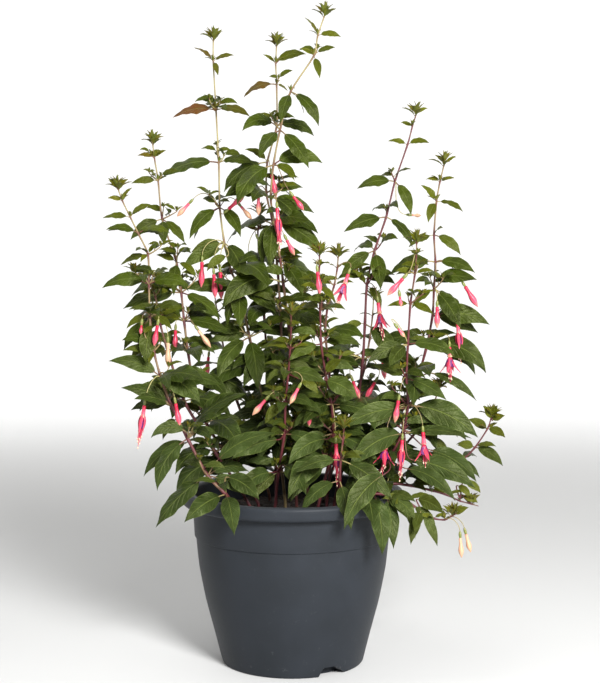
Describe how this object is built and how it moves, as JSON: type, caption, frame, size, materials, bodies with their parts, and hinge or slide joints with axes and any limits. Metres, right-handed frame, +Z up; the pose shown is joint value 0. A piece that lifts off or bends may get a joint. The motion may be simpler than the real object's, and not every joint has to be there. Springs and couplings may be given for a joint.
{
  "type": "potted fuchsia",
  "caption": "Bushy upright fuchsia with toothed green leaves and nodding pink and purple blooms, growing in a round dark plastic patio pot filled with soil.",
  "frame": {"origin": "centre of the pot's underside, on the surface that the pot stands on", "axes": "+Z up along the pot's axis; the plant is seen in the picture from the -Y side, with +X to the right"},
  "size_m": [0.4079, 0.2763, 0.6805],
  "materials": {
    "pot": "satin",
    "soil": "matte",
    "leafy_stem": "satin",
    "bloom": "satin",
    "corolla": "satin"
  },
  "bodies": {
    "root": {"pot": "pot", "soil": "soil", "stem_tall_left": "leafy_stem", "stem_tall_mid": "leafy_stem", "stem_tallest": "leafy_stem", "stem_behind_mid": "leafy_stem", "stem_left": "leafy_stem", "stem_far_left": "leafy_stem", "stem_left_spray": "leafy_stem", "stem_right": "leafy_stem", "stem_far_right": "leafy_stem", "stem_right_young": "leafy_stem", "stem_centre": "leafy_stem", "stem_centre_twin": "leafy_stem", "stem_front_mid": "leafy_stem", "stem_front_right": "leafy_stem", "stem_low_right": "leafy_stem", "stem_trailing": "leafy_stem", "stem_trailing_twig": "leafy_stem", "stem_right_low": "leafy_stem", "stem_back_left": "leafy_stem", "stem_back_right": "leafy_stem", "stem_back_mid": "leafy_stem", "bloom_01": "bloom", "bloom_02": "bloom", "bloom_03": "bloom", "bloom_04": "bloom", "bloom_05": "bloom", "bloom_06": "bloom", "bloom_07": "bloom", "bloom_08": "bloom", "bloom_09": "bloom", "bloom_10": "bloom", "bloom_11": "bloom", "bloom_12": "bloom", "bloom_13": "bloom", "bloom_14": "bloom", "bloom_15": "bloom", "bloom_16": "bloom", "bloom_17": "bloom", "corolla_01": "corolla", "bloom_18": "bloom", "bloom_19": "bloom", "bloom_20": "bloom", "bloom_21": "bloom", "bloom_22": "bloom", "corolla_02": "corolla", "bloom_23": "bloom", "corolla_03": "corolla", "bloom_24": "bloom", "bloom_25": "bloom", "bloom_26": "bloom", "bloom_27": "bloom", "bloom_28": "bloom", "corolla_04": "corolla", "bloom_29": "bloom", "bloom_30": "bloom", "corolla_05": "corolla", "bloom_31": "bloom", "bloom_32": "bloom"}
  },
  "joints": []
}
